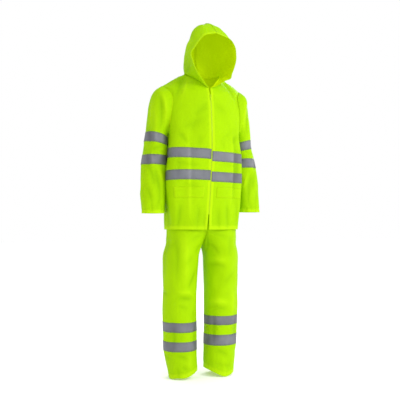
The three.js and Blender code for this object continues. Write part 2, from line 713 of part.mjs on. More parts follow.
function tabGeometry() {
  const { width, length, thickness, hole, holeLength } = tab;
  const half = width / 2;
  const top = thickness / 2;
  const outline = new THREE.Shape();
  outline.moveTo(-half, top - 1);
  outline.lineTo(-half + 1, top);
  outline.lineTo(half - 1, top);
  outline.lineTo(half, top - 1);
  outline.lineTo(half - 1.2, -length + half - 1.2);
  outline.absarc(0, -length + half - 1.2, half - 1.2, 0, -Math.PI, true);
  outline.lineTo(-half, top - 1);
  const eye = new THREE.Path();
  eye.moveTo(-hole / 2, top - thickness);
  eye.lineTo(-hole / 2, top - thickness - holeLength);
  eye.lineTo(hole / 2, top - thickness - holeLength);
  eye.lineTo(hole / 2, top - thickness);
  outline.holes.push(eye);
  const plate = { depth: thickness, bevelEnabled: false, curveSegments: 8 };
  return new THREE.ExtrudeGeometry(outline, plate).translate(0, 0, -thickness / 2).rotateX(Math.PI / 2);
}

const zipHead = new THREE.Group();
const headSpot = body(0, zipTop + 1);
const headOut = outward(body, 0, zipTop + 1, bodySteps);
const headAcross = point(-1, 0, 0);
zipHead.position.copy(headSpot);
zipHead.quaternion.setFromRotationMatrix(
  new THREE.Matrix4().makeBasis(headAcross, headOut, headAcross.clone().cross(headOut)),
);
suit.add(zipHead);
addPiece('zip_slider', sliderGeometry(), limePlastic, zipHead);
addPiece('zip_pull_tab', tabGeometry(), limePlastic, zipHead).position.set(0, tab.axis, 0);

export default suit;
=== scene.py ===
import math

import bmesh
import bpy
import numpy as np
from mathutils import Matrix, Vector, noise
from mathutils.bvhtree import BVHTree
from mathutils.kdtree import KDTree


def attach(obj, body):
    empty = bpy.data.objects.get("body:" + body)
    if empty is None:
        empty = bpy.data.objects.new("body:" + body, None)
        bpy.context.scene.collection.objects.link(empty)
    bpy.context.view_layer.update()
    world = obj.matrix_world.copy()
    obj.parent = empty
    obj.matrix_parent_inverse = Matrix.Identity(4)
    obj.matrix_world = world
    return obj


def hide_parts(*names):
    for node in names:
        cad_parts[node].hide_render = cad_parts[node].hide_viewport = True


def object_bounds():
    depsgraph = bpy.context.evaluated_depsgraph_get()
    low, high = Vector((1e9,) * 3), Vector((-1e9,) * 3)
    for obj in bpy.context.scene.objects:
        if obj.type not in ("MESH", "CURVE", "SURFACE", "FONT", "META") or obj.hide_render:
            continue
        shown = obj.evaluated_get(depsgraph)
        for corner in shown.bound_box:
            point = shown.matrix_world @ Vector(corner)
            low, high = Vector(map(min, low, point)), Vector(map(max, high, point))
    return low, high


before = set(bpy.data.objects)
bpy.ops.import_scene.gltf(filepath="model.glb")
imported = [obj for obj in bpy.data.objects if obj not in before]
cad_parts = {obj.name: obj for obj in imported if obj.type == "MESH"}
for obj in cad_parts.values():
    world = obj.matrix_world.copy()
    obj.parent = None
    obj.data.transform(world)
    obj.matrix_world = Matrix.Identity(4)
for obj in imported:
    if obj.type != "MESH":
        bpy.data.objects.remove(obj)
cadBox = [list(corner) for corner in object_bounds()]
mm = 0.001

# Camera: level, a little to the wearer's right, at chest to knee height
cameraSettings = {
    "distance": 3.1,
    "turnedDegrees": -20,
    "height": -0.754,
    "focalPixels": 596.15,
    "framePixels": 400,
    "axisPixel": (201.6, 225),
}


def makeCamera(use):
    turned = math.radians(use["turnedDegrees"])
    back = Vector((math.sin(turned), -math.cos(turned), 0))
    data = bpy.data.cameras.new("photoCamera")
    data.sensor_width = 36
    data.lens = 36 * use["focalPixels"] / use["framePixels"]
    data.shift_x = (use["framePixels"] / 2 - use["axisPixel"][0]) / use["framePixels"]
    data.shift_y = (use["axisPixel"][1] - use["framePixels"] / 2) / use["framePixels"]
    data.clip_end = 100
    camera = bpy.data.objects.new("photoCamera", data)
    camera.location = back * use["distance"] + Vector((0, 0, use["height"]))
    camera.rotation_mode = "QUATERNION"
    camera.rotation_quaternion = (-back).to_track_quat("-Z", "Y")
    bpy.context.scene.collection.objects.link(camera)
    bpy.context.scene.camera = camera


makeCamera(cameraSettings)
print("camera placed")


def toned(colour, share=1.0):
    return [part * share for part in colour] + [1]


# Shader maths: an expression on values adds its Math nodes
class Value:
    def __init__(self, finish, socket):
        self.finish = finish
        self.socket = socket

    def maths(self, operation, *others):
        return self.finish.node("Math", {"operation": operation}, dict(enumerate((self, *others))))

    def __add__(self, other):
        return self.maths("ADD", other)

    def __mul__(self, other):
        return self.maths("MULTIPLY", other)

    __radd__ = __add__
    __rmul__ = __mul__


class Finish:
    def __init__(self, name):
        self.material = bpy.data.materials.new(name)
        self.material.use_nodes = True
        self.tree = self.material.node_tree
        self.shader = self.tree.nodes["Principled BSDF"]

    def put(self, socket, value):
        if isinstance(value, Value):
            self.tree.links.new(value.socket, socket)
        else:
            socket.default_value = value

    def node(self, kind, settings=None, sockets=None, out=0):
        made = self.tree.nodes.new("ShaderNode" + kind)
        for name, setting in (settings or {}).items():
            setattr(made, name, setting)
        for name, value in (sockets or {}).items():
            self.put(made.inputs[name], value)
        return Value(self, made.outputs[out])

    def set(self, **values):
        for name, value in values.items():
            words = "".join(" " + letter if letter.isupper() else letter for letter in name)
            self.put(self.shader.inputs[words[:1].upper() + words[1:]], value)

    def place(self):
        return self.node("TexCoord", out="Object")

    def cut(self):
        flat = self.node("UVMap", {"uv_map": "cut"})
        return [self.node("SeparateXYZ", None, {0: flat}, side) for side in (0, 1)]

    def attribute(self, name):
        return self.node("Attribute", {"attribute_name": name}, None, "Fac")

    def grain(self, scale, detail=2.0, roughness=0.5, distortion=0.0):
        sockets = {
            "Vector": self.place(), "Scale": scale, "Detail": detail,
            "Roughness": roughness, "Distortion": distortion,
        }
        return self.node("TexNoise", None, sockets)

    def blend(self, share, first, second):
        return self.node("Mix", {"data_type": "RGBA"}, {0: share, 6: first, 7: second}, 2)

    def overFolds(self, colour, use, shares):
        # Each named share mixes in its tone: a lighter tone where the cloth lies in two layers, painted shade
        # in fold troughs, a painted highlight on fold ridges, and painted shade along a tape's edges
        for name, share in shares.items():
            colour = self.blend(self.attribute(name) * share, colour, toned(use[name]))
        return colour

    def bump(self, height, distance, strength=1.0, under=None):
        sockets = {"Height": height, "Distance": distance, "Strength": strength}
        if under:
            sockets["Normal"] = under
        return self.node("Bump", None, sockets)


# Lime coated cloth: a fine plain weave along the cut, small crumples, a lighter tone where it lies in two
# layers, painted shade in fold troughs, a painted highlight on fold ridges and a faint painted glow
limeSettings = {
    "light": (0.345, 0.60, 0.0),
    "deep": (0.285, 0.53, 0.0),
    "double": (0.41, 0.66, 0.002),
    # Inside tones: the same lime shifted to olive, painted shade
    "insideLight": (0.41, 0.56, 0.0),
    "insideDeep": (0.35, 0.49, 0.0),
    # A painted glow: faint outside; inside stronger, standing in for light that comes through the thin cloth
    "glow": 0.05,
    "insideGlow": 0.38,
    "shine": 0.04,
    # Painted shade in fold troughs and a painted highlight on fold ridges
    "trough": (0.185, 0.385, 0.0),
    "ridge": (0.47, 0.74, 0.004),
    "shares": {"double": 0.8, "trough": 0.75, "ridge": 0.75},
    "roughness": (0.50, 0.18, 0.04),  # plain, on small creases, on threads
    "threadPitch": 1.1,
    "threadHeight": 0.3,
    "patchScale": 5.0,
    "softScale": 16.0,
    "softHeight": 6.0,
    "creaseScale": 52.0,
    "creaseHeight": 2.2,
}


def makeLimeCloth(name, use, light, deep, glow, outside):
    finish = Finish(name)
    u, v = finish.cut()
    turns = 2 * math.pi / (use["threadPitch"] * mm)
    weave = (u * turns).maths("SINE") * (v * turns).maths("SINE")
    patches = finish.grain(use["patchScale"], 3.0, 0.6)
    colour = finish.blend(patches, toned(use[deep]), toned(use[light]))
    # Outside: painted shade in fold troughs, a painted highlight on ridges, and the lighter two-layer tone
    if outside:
        colour = finish.overFolds(colour, use, use["shares"])
    soft = finish.grain(use["softScale"], 3.0, 0.5, 0.4)
    creases = finish.grain(use["creaseScale"], 3.0, 0.6, 1.2)
    normal = finish.bump(soft, use["softHeight"] * mm, 0.5)
    normal = finish.bump(creases, use["creaseHeight"] * mm, 0.55, normal)
    rough, creaseRough, threadRough = use["roughness"]
    finish.set(
        baseColor=colour,
        roughness=rough + creaseRough * creases + threadRough * weave,
        # The painted glow takes the cloth's own tone
        emissionColor=colour,
        emissionStrength=use[glow],
        normal=finish.bump(weave, use["threadHeight"] * mm, 0.6, normal),
    )
    finish.put(finish.shader.inputs["Specular IOR Level"], use["shine"])
    return finish.material


limeCloth = makeLimeCloth("limeCloth", limeSettings, "light", "deep", "glow", True)
# Inside, the lime takes an olive tone of painted shade and a painted glow that stands in for light coming
# through the thin cloth
limeInside = makeLimeCloth("limeInside", limeSettings, "insideLight", "insideDeep", "insideGlow", False)

# Reflective tape: tiny glass beads in a grey binder, rubbed a little cloudy, with painted shade in its folds
# and along its edges and a painted highlight on its ridges
tapeSettings = {
    "light": (0.212, 0.220, 0.243),
    "deep": (0.070, 0.074, 0.088),
    "double": (0.055, 0.055, 0.065),  # painted shade along its edges
    # Painted shade in its folds and a painted highlight on its ridges
    "trough": (0.07, 0.07, 0.08),
    "ridge": (0.30, 0.30, 0.32),
    "shares": {"trough": 0.8, "ridge": 0.6, "double": 0.7},
    "beadScale": 1400.0,
    "beadHeight": 0.1,
    "cloudScale": 11.0,
    "crumpleScale": 38.0,
    "crumpleHeight": 1.5,
}


def makeReflectiveTape(use):
    finish = Finish("reflectiveTape")
    beads = finish.grain(use["beadScale"], 1.0)
    clouds = finish.grain(use["cloudScale"], 4.0, 0.6)
    crumples = finish.grain(use["crumpleScale"], 2.0, 0.5, 0.8)
    colour = finish.blend(clouds, toned(use["deep"]), toned(use["light"]))
    normal = finish.bump(crumples, use["crumpleHeight"] * mm, 0.4)
    finish.set(
        baseColor=finish.overFolds(colour, use, use["shares"]),
        roughness=0.42 + 0.22 * beads,
        metallic=0.05 + 0.2 * clouds,
        normal=finish.bump(beads, use["beadHeight"] * mm, 0.35, normal),
    )
    return finish.material


reflectiveTape = makeReflectiveTape(tapeSettings)


def makePlain(name, colour, roughness, scale, height, glow=0.0, gloss=0.1):
    finish = Finish(name)
    grain = finish.grain(scale, 2.0)
    finish.set(
        baseColor=finish.blend(grain, toned(colour, 0.86), toned(colour)),
        roughness=roughness + 0.12 * grain,
        emissionColor=toned(colour),
        emissionStrength=glow,
        normal=finish.bump(grain, height, 0.4),
    )
    finish.put(finish.shader.inputs["Specular IOR Level"], gloss)
    return finish.material


# The zip's glow is painted light that lifts its teeth and woven tape out of their shade
zipPlastic = makePlain("zipPlastic", (0.40, 0.59, 0.0), 0.4, 900.0, 0.00004, 0.08, 0.25)
zipWoven = makePlain("zipWoven", (0.42, 0.60, 0.0), 0.7, 1600.0, 0.00015, 0.22)
sewingThread = makePlain("sewingThread", (0.47, 0.66, 0.004), 0.6, 2600.0, 0.00008)
palePaper = makePlain("palePaper", (0.97, 0.97, 0.97), 0.9, 3.0, 0.0, 0.12)
print("finishes made")


# Meshes
def showMesh(name, source):
    mesh = bpy.data.meshes.new(name)
    source.to_mesh(mesh)
    source.free()
    piece = bpy.data.objects.new(name, mesh)
    bpy.context.scene.collection.objects.link(piece)
    return piece


def coordinates(mesh):
    points = np.empty(len(mesh.vertices) * 3, np.float32)
    mesh.vertices.foreach_get("co", points)
    return points.reshape(-1, 3).astype(float)


def setCoordinates(mesh, points):
    mesh.vertices.foreach_set("co", points.astype(np.float32).ravel())
    mesh.update()


def normalsOf(mesh):
    normals = np.empty(len(mesh.vertices) * 3, np.float32)
    mesh.vertex_normals.foreach_get("vector", normals)
    return normals.reshape(-1, 3).astype(float)


def clothArea(piece):
    return sum(face.area for face in piece.data.polygons)


def treeOf(pieces):
    points, faces = [], []
    for piece in pieces:
        start = len(points)
        points.extend(coordinates(piece.data).tolist())
        faces.extend([start + corner for corner in face.vertices] for face in piece.data.polygons)
    return BVHTree.FromPolygons(points, faces)


def spotTree(spots):
    tree = KDTree(len(spots))
    for index, spot in enumerate(spots):
        tree.insert(spot, index)
    tree.balance()
    return tree


def nodeOf(name):
    # A piece has the name of the CAD node that it stands for, in camelCase
    return "".join("_" + letter.lower() if letter.isupper() else letter for letter in name)


# Cloth skins: the outer wall of a CAD panel as quads. The wall's own edges are shorter than wallEdge.
wallEdge = 1.75 * mm
wallThick = 1.6


def islandsOf(skin):
    left = set(skin.faces)
    while left:
        island, reach = [], [left.pop()]
        while reach:
            face = reach.pop()
            island.append(face)
            near = {other for edge in face.edges for other in edge.link_faces} & left
            left -= near
            reach.extend(near)
        yield island


def outerSkin(name, use):
    axis = use["axis"]
    skin = bmesh.new()
    skin.from_mesh(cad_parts[nodeOf(name)].data)
    bmesh.ops.remove_doubles(skin, verts=skin.verts, dist=0.01 * mm)
    rims = [face for face in skin.faces if min(edge.calc_length() for edge in face.edges) < wallEdge]
    bmesh.ops.delete(skin, geom=rims, context="FACES")
    inner = []
    for island in islandsOf(skin):
        outward = 0
        for face in island:
            middle = face.calc_center_median()
            heart = Vector((axis[0] * mm, axis[1] * mm, axis[2] * mm if len(axis) > 2 else middle.z))
            outward += face.calc_area() * face.normal.dot(middle - heart)
        if outward < 0:
            inner.extend(island)
    bmesh.ops.delete(skin, geom=inner, context="FACES")
    bmesh.ops.join_triangles(
        skin, faces=skin.faces[:], angle_face_threshold=math.pi, angle_shape_threshold=math.pi
    )
    if "cutAt" in use:
        markCut(skin, Vector(use["cutAt"]) * mm)
    return skin


# A closed ring is opened for its flat cut along one line of edges, from the edge point nearest a given spot
def markCut(skin, spot):
    corner = min((vert for vert in skin.verts if vert.is_boundary), key=lambda vert: (vert.co - spot).length)
    edge = next(edge for edge in corner.link_edges if not edge.is_boundary)
    while True:
        edge.seam = True
        corner = edge.other_vert(corner)
        if corner.is_boundary:
            return
        beside = set(edge.link_faces)
        edge = next(other for other in corner.link_edges if not beside & set(other.link_faces))


def layFlat(piece):
    # The flat cut in metres, with its length along the garment's height
    bpy.ops.object.select_all(action="DESELECT")
    bpy.context.view_layer.objects.active = piece
    piece.select_set(True)
    bpy.ops.object.mode_set(mode="EDIT")
    bpy.ops.mesh.select_all(action="SELECT")
    bpy.ops.uv.unwrap(method="ANGLE_BASED", margin=0)
    bpy.ops.object.mode_set(mode="OBJECT")
    mesh = piece.data
    flat = np.empty(len(mesh.loops) * 2, np.float32)
    mesh.uv_layers.active.uv.foreach_get("vector", flat)
    flat = flat.reshape(-1, 2).astype(float)
    corners = np.array([loop.vertex_index for loop in mesh.loops])
    heights = coordinates(mesh)[corners, 2]
    flatArea = 0
    for face in mesh.polygons:
        ring = flat[list(face.loop_indices)]
        nextRing = np.roll(ring, -1, axis=0)
        flatArea += abs((ring[:, 0] * nextRing[:, 1] - ring[:, 1] * nextRing[:, 0]).sum()) / 2
    flat *= math.sqrt(clothArea(piece) / flatArea)
    slope = np.linalg.lstsq(np.c_[flat, np.ones(len(flat))], heights, rcond=None)[0][:2]
    slope /= np.linalg.norm(slope)
    turned = flat @ np.array([[slope[1], slope[0]], [-slope[0], slope[1]]])
    turned -= turned.min(axis=0)
    mesh.uv_layers.active.uv.foreach_set("vector", turned.astype(np.float32).ravel())
    mesh.uv_layers.active.name = "cut"
    return [float(side) for side in turned.max(axis=0)]


def roundSkin(piece, levels):
    # The corner points are moved until the rounded skin passes through the panel's own points
    rounding = piece.modifiers.new("rounding", "SUBSURF")
    rounding.levels = rounding.render_levels = levels
    rounding.boundary_smooth = "PRESERVE_CORNERS"
    goal = coordinates(piece.data)
    cage = goal.copy()
    for _ in range(4):
        seen = piece.evaluated_get(bpy.context.evaluated_depsgraph_get()).to_mesh()
        cage += goal - coordinates(seen)[: len(goal)]
        setCoordinates(piece.data, cage)
        bpy.context.view_layer.update()
    whole = bpy.data.meshes.new_from_object(piece.evaluated_get(bpy.context.evaluated_depsgraph_get()))
    piece.modifiers.clear()
    piece.data = whole


def addWall(piece, thickness, outer, inner):
    piece.data.materials.clear()
    piece.data.materials.append(outer)
    piece.data.materials.append(inner)
    for face in piece.data.polygons:
        face.use_smooth = True
        face.material_index = 0
    wall = piece.modifiers.new("wall", "SOLIDIFY")
    wall.thickness = thickness * mm
    wall.offset = -1
    wall.material_offset = 1
    wall.material_offset_rim = 0


def carry(piece, slot, node=None, body="suit"):
    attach(piece, body)
    if node:
        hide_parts(node)


def stepsOf(points):
    return np.linalg.norm(np.diff(points, axis=0), axis=1)


def pointsAt(points, lengths, wanted):
    return np.array([np.interp(wanted, lengths, part) for part in points.T]).T


def towardsFaces(vert):
    middles = sum((face.calc_center_median() for face in vert.link_faces), Vector())
    return middles / len(vert.link_faces) - vert.co


# Sides of a skin: its edge is split at its corners into ordered runs of points with inward directions
def sidesOf(mesh):
    skin = bmesh.new()
    skin.from_mesh(mesh)
    skin.normal_update()
    # Kept in the mesh's own order, so that a closed ring starts at the same point in every run
    edges = dict.fromkeys(edge for edge in skin.edges if edge.is_boundary)
    corners = [vert for vert in skin.verts if vert.is_boundary and len(vert.link_edges) == 2]
    sides = []
    while edges:
        start = next((vert for vert in corners if any(edge in edges for edge in vert.link_edges)), None)
        start = start or next(iter(edges)).verts[0]
        run, vert = [start], start
        while True:
            edge = next((edge for edge in vert.link_edges if edge in edges), None)
            if not edge:
                break
            del edges[edge]
            vert = edge.other_vert(vert)
            run.append(vert)
            if vert in corners:
                break
        points = np.array([vert.co for vert in run])
        normals = np.array([vert.normal for vert in run])
        tangents = np.gradient(points, axis=0)
        if run[0] is run[-1] and len(run) > 2:
            tangents[0] = tangents[-1] = points[1] - points[-2]
        tangents /= np.linalg.norm(tangents, axis=1)[:, None]
        inward = np.cross(normals, tangents)
        inside = np.array([towardsFaces(vert) for vert in run])
        if (inside * inward).sum() < 0:
            inward = -inward
        sides.append({"points": points, "inward": inward, "length": stepsOf(points).sum()})
    skin.free()
    return sides


def nearestSide(sides, spot):
    return min(sides, key=lambda side: np.linalg.norm(side["points"] - np.array(spot) * mm, axis=1).min())


def alongSide(side, pitch, inset=0.0):
    # Points every pitch along a side, moved in from its edge
    points = side["points"] + side["inward"] * inset
    lengths = np.r_[0, np.cumsum(stepsOf(points))]
    count = max(int(lengths[-1] / pitch), 1)
    return pointsAt(points, lengths, (np.arange(count) + 0.5) * lengths[-1] / count)


# Folds: each is a soft trough (or, with a negative depth, a ridge) along a bowed line.
# The line is drawn in a plain view of the garment and laid on the cloth. A fold's numbers are, in mm,
# across and height of one end, of the other end, the line's bow, its width and its depth.
viewRays = {
    "front": (lambda across, height: (across, -1000, height), (0, 1, 0)),
    "back": (lambda across, height: (across, 1000, height), (0, -1, 0)),
    "left": (lambda across, height: (1000, across, height), (-1, 0, 0)),
    "right": (lambda across, height: (-1000, across, height), (1, 0, 0)),
}
otherView = {"front": "front", "back": "back", "left": "right", "right": "left"}
otherShare = {"lower": 0.8, "width": 1.1, "depth": 0.9}


def mirrored(folds, lower):
    # The other side's folds: a little lower, shorter, wider and shallower
    swapped = {}
    for view, lines in folds.items():
        turn = -1 if view in ("front", "back") else 1
        swapped[otherView[view]] = [
            (
                turn * across1, height1 - lower, turn * across2, height2 - otherShare["lower"] * lower,
                turn * bow, width * otherShare["width"], depth * otherShare["depth"],
            )
            for across1, height1, across2, height2, bow, width, depth in lines
        ]
    return swapped


def laidLine(view, fold, tree):
    across1, height1, across2, height2, bow = fold[:5]
    origin, direction = viewRays[view]
    reach = math.hypot(across2 - across1, height2 - height1)
    sideways = ((height1 - height2) / reach, (across2 - across1) / reach)
    spots = []
    for share in np.linspace(0, 1, max(int(reach / foldShare["step"]), 6)):
        swing = 4 * bow * share * (1 - share)
        across = across1 + (across2 - across1) * share + sideways[0] * swing
        height = height1 + (height2 - height1) * share + sideways[1] * swing
        hit = tree.ray_cast(Vector(origin(across, height)) * mm, Vector(direction))[0]
        if hit:
            spots.append((*hit, share))
    return np.array(spots)


# How far all folds are widened and deepened, how sharp their crests and thin their ends are, how close their
# points lie, and from what depth on a fold's painted shade or highlight is full
foldShare = {"width": 1.3, "depth": 2.1, "crest": 1.35, "taper": 0.6, "step": 4, "fullTone": 6}


def foldRelief(points, folds, tree):
    relief = np.zeros(len(points))
    for view, fold in [(view, fold) for view in folds for fold in folds[view]]:
        line = laidLine(view, fold, tree)
        width, depth = fold[5] * foldShare["width"] * mm, fold[6] * foldShare["depth"] * mm
        if len(line) < 3:
            print("a fold missed the cloth", view, fold)
            continue
        low = line[:, :3].min(axis=0) - 3 * width
        high = line[:, :3].max(axis=0) + 3 * width
        near = np.where(((points > low) & (points < high)).all(axis=1))[0]
        if not len(near):
            continue
        gaps = np.linalg.norm(points[near, None] - line[None, :, :3], axis=2)
        closest = gaps.argmin(axis=1)
        gap = gaps[np.arange(len(near)), closest]
        taper = np.sin(math.pi * np.clip(line[closest, 3], 0.02, 0.98)) ** foldShare["taper"]
        relief[near] -= depth * taper * np.exp(-((gap / width) ** foldShare["crest"]))
    return relief


def rippleRelief(points, ripples):
    relief = np.zeros(len(points))
    for (wide, tall), height, seed in ripples:
        scaled = points / (np.array([wide, wide, tall]) * mm) + seed
        relief += height * mm * np.array([noise.noise(place) for place in scaled.tolist()])
    return relief


# Along a side the cloth is turned in and sewn, or joined to its neighbour: a flat raised strip,
# a stitched groove and small puckers, in mm
sideSettings = {
    "pitch": 2, "reach": 30, "stripHeight": 0.55, "stripEdge": 1.2, "joinWide": 5,
    "grooveDepth": 0.6, "grooveWide": 3, "puckerHeight": 1.1, "puckerReach": 13,
    "puckerAlong": 11, "puckerAcross": 26,
}


def sideRelief(points, side, fold, use=sideSettings):
    tree = spotTree(alongSide(side, use["pitch"] * mm))
    found = [tree.find(point) for point in points.tolist()]
    gap = np.array([spot[2] for spot in found]) / mm
    feet = np.array([spot[0] for spot in found]) / mm
    relief = np.zeros(len(points))
    near = np.where(gap < fold + use["reach"])[0]
    if fold:
        strip = 1 / (1 + np.exp((gap[near] - fold + 1) / use["stripEdge"]))
    else:
        strip = np.exp(-((gap[near] / use["joinWide"]) ** 2))
    long, wide = use["puckerAlong"], use["puckerAcross"]
    puckers = np.array([
        noise.noise((foot[0] / long, foot[1] / long, foot[2] / long + away / wide))
        for foot, away in zip(feet[near].tolist(), gap[near].tolist())
    ])
    groove = np.exp(-(((gap[near] - fold) / use["grooveWide"]) ** 2))
    relief[near] = (
        (use["stripHeight"] if fold else 0) * strip * mm
        - use["grooveDepth"] * groove * mm
        + use["puckerHeight"] * puckers * np.exp(-(((gap[near] - fold) / use["puckerReach"]) ** 2)) * mm
    )
    double = np.zeros(len(points))
    if fold:
        double[near] = strip
    return relief, double


def storeShare(mesh, name, values):
    layer = mesh.attributes.new(name, "FLOAT", "POINT")
    layer.data.foreach_set("value", values.astype(np.float32))


# Stitches: one short six-sided thread, repeated along the sewn lines
stitchSettings = {"length": 3.0, "pitch": 4.2, "thickness": 0.55, "sink": 0.12}


def makeStitch(use):
    stitch = bmesh.new()
    radius = use["thickness"] * mm / 2
    bmesh.ops.create_cone(
        stitch, cap_ends=True, segments=6, radius1=radius, radius2=radius, depth=use["length"] * mm
    )
    mesh = bpy.data.meshes.new("stitch")
    stitch.to_mesh(mesh)
    stitch.free()
    return mesh


stitchMesh = makeStitch(stitchSettings)
stitchShape = coordinates(stitchMesh)


def addCopies(target, mesh, shape, frames):
    # Each frame is a 3 x 3 turn and a place
    for turn, place in frames:
        setCoordinates(mesh, shape @ turn.T + place)
        target.from_mesh(mesh)


def threadFrames(spots, tree, lift):
    frames = []
    seats = [tree.find_nearest(Vector(spot))[:2] for spot in spots]
    for index, (seat, normal) in enumerate(seats):
        before, after = seats[max(index - 1, 0)][0], seats[min(index + 1, len(seats) - 1)][0]
        along = (after - before).normalized()
        normal = (normal - along * normal.dot(along)).normalized()
        turn = np.array([normal.cross(along), normal, along]).T
        frames.append((turn, np.array(seat + normal * lift)))
    return frames


def sewSide(target, side, tree, insets, use=stitchSettings):
    for inset in insets:
        spots = alongSide(side, use["pitch"] * mm, inset * mm)
        lift = (use["thickness"] / 2 - use["sink"]) * mm
        addCopies(target, stitchMesh, stitchShape, threadFrames(spots, tree, lift))


def bothHands(own):
    # After each right piece comes its left one, across the middle
    whole = {}
    for name, use in own.items():
        whole[name] = use
        if name.endswith("Right"):
            left = whole[name.replace("Right", "Left")] = {"group": use["group"].replace("Right", "Left")}
            for key, value in use.items():
                if key in ("axis", "cutAt"):
                    left[key] = (-value[0], *value[1:])
                elif key != "group":
                    left[key] = [((-spot[0], *spot[1:]), more) for spot, more in value]
    return whole


# Panels. Each gives the axis that its cloth goes round, where a tube is opened for its flat cut, the
# sides that are turned in (a point on the side, then the fold's width), and the sides that are joined
# (a point on the side, then how far in the rows of stitches of this panel lie).
panelSettings = bothHands({
    "jacketFrontRight": {
        "group": "body", "axis": (0, 0),
        "turned": [((-100, -115, -777), 20), ((-3, -145, -400), 14)],
        "sewn": [((-173, 0, -500), (2.0,))],
    },
    "jacketBack": {
        "group": "body", "axis": (0, 0),
        "turned": [((0, 120, -777), 20)],
        "sewn": [((-190, 20, -600), ()), ((190, 20, -600), ())],
    },
    "sleeveRight": {
        "group": "sleeveRight", "axis": (-235, 20), "cutAt": (-186, 6, -292),
        "turned": [((-260, 0, -693), 17)],
        "sewn": [((-190, 0, -100), (2.0,))],
    },
    "hoodRight": {
        "group": "hood", "axis": (0, -40, 120),
        "turned": [((-110, -165, 80), 16)],
        "sewn": [((-100, -10, 10), (2.0,)), ((-10, 76, 180), (2.5,)), ((0, -80, 270), (2.5,))],
    },
    "trouserFrontRight": {
        "group": "trousers", "axis": (-100, 10),
        "turned": [((-105, -55, -1530), 22)],
        "sewn": [((-195, 18, -1100), (2.0,)), ((-30, 18, -1100), ()), ((-80, -90, -508), ())],
    },
    "trouserBackRight": {
        "group": "trousers", "axis": (-100, 10),
        "turned": [((-105, 95, -1530), 22)],
        "sewn": [((-195, 18, -1100), (2.0,)), ((-30, 18, -1100), (2.0,)), ((-80, 100, -508), ())],
    },
})

bodyFolds = {
    "front": [
        (-100, 8, -163, -115, -8, 13, 2.2), (-86, -10, -138, -126, -6, 10, -1.5),
        (94, -6, 158, -118, 8, 13, 2.0), (-121, -285, -106, -716, 4, 9, -2.2),
        (-107, -330, -96, -640, 2, 11, 1.3), (121, -255, 117, -664, 3, 8, -2.0),
        (134, -290, 131, -650, 3, 10, 2.6), (-18, -140, -96, -206, 9, 15, 1.5),
        (20, -136, 86, -186, -8, 13, 1.2), (-36, -214, -146, -268, 9, 19, 1.2),
        (52, -318, 150, -252, -9, 17, 1.1), (-62, -300, -74, -372, 4, 12, 1.2),
        (58, -318, 66, -380, 3, 11, 1.0), (152, -366, 150, -548, 2, 15, 2.6),
        (-165, -380, -166, -540, 2, 12, 1.4), (-170, -440, -56, -456, -6, 8, 1.1),
        (38, -450, 152, -464, 5, 8, 1.1), (-168, -296, -118, -352, 6, 10, 1.9),
        (166, -298, 120, -346, -6, 10, 1.9), (-152, -640, -160, -777, 3, 10, 2.1),
        (-64, -650, -72, -777, 5, 12, 1.9), (-30, -690, -36, -777, 2, 8, 1.2),
        (46, -670, 53, -777, -3, 10, 1.7), (92, -640, 102, -777, 3, 11, 2.2),
        (152, -610, 163, -777, 3, 10, 1.8), (-140, -545, -60, -560, -4, 9, 1.0),
    ],
    "back": [
        (-46, -42, -126, -164, -10, 15, 2.2), (40, -38, 118, -150, 10, 16, 2.0),
        (-84, -60, -150, -226, -6, 11, -1.4), (-26, -196, -20, -376, -4, 14, -1.6),
        (24, -176, 36, -388, 5, 14, 1.6), (112, -270, 97, -590, 6, 10, -2.0),
        (-116, -286, -101, -612, -5, 10, -2.0), (-128, -300, -118, -560, 3, 11, 2.2),
        (128, -296, 116, -540, 3, 11, 2.0), (-92, -452, 58, -463, 6, 10, 1.2),
        (-70, -556, 96, -566, -5, 12, 1.0), (-58, -610, -67, -777, 4, 12, 2.2),
        (14, -650, 19, -777, -3, 10, 1.6), (86, -600, 95, -777, 5, 12, 2.1),
        (140, -640, 150, -777, 2, 9, 1.5), (-130, -650, -142, -777, 2, 9, 1.6),
    ],
    "left": [
        (-10, -330, 8, -560, 4, 12, 2.0), (40, -580, 34, -777, 4, 12, 1.8),
    ],
    "right": [
        (0, -330, 14, -600, 4, 12, 2.0), (-36, -600, -30, -777, 4, 11, 1.8),
    ],
}
sleeveFolds = {
    "front": [
        (-224, -96, -212, -266, 4, 8, -1.8), (-243, -100, -236, -280, 4, 9, 2.2),
        (-264, -150, -258, -276, 2, 10, -1.3), (-286, -262, -283, -345, 2, 14, 2.6),
        (-262, -262, -258, -345, 2, 6, -1.8), (-298, -385, -295, -462, 2, 13, 2.4),
        (-279, -385, -275, -462, 2, 6, -1.8), (-212, -346, -288, -372, 6, 8, 1.7),
        (-206, -384, -262, -396, -4, 7, 1.0), (-297, -455, -270, -560, 6, 9, 2.0),
        (-266, -470, -240, -622, 6, 10, 2.5), (-246, -470, -222, -560, 4, 8, -1.4),
        (-308, -560, -282, -650, 4, 9, 1.9), (-240, -600, -262, -676, 4, 9, 1.4),
        (-286, -640, -282, -692, 2, 7, 1.4), (-232, -646, -228, -692, 2, 7, 1.2),
    ],
    "right": [
        (30, -96, 44, -262, 6, 12, 1.8), (-12, -130, -6, -250, -4, 10, -1.2),
        (62, -340, 0, -378, 6, 8, 1.6), (56, -470, 6, -590, 8, 11, 2.0),
        (-10, -520, 24, -640, 6, 9, -1.4), (4, -640, 6, -692, 2, 8, 1.2),
    ],
    "back": [
        (-232, -130, -214, -274, 4, 11, 2.0), (-258, -150, -244, -280, 3, 9, -1.3),
        (-216, -346, -292, -384, -8, 9, 2.4), (-212, -380, -284, -396, -6, 7, 1.4),
        (-214, -470, -262, -570, -6, 10, 2.2), (-246, -500, -292, -610, -5, 9, -1.4),
        (-230, -610, -246, -688, 3, 8, 1.4),
    ],
    "left": [
        (0, -330, 50, -366, -5, 9, 1.8), (10, -480, 26, -620, 6, 10, 1.8),
    ],
}
